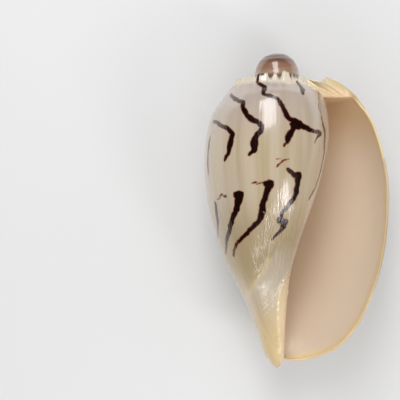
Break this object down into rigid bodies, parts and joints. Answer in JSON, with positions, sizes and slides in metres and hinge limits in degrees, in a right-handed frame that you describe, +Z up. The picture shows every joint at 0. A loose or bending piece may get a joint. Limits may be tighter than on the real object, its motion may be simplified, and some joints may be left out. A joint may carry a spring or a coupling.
{
  "type": "sea shell",
  "caption": "Large ovate volute shell with a round smooth spire, a crown of short spines, a wide aperture and a thin outer lip, lying on its back.",
  "frame": {"origin": "middle of the lower face of the bounding box", "axes": "+Y along the shell's axis towards the spire, +Z up through the aperture's side, +X towards the outer lip"},
  "size_m": [0.1102, 0.1902, 0.0896],
  "materials": {
    "shell": "glossy cream shell with dark brown zigzag flames"
  },
  "bodies": {
    "root": {"shell": "shell"}
  },
  "joints": []
}
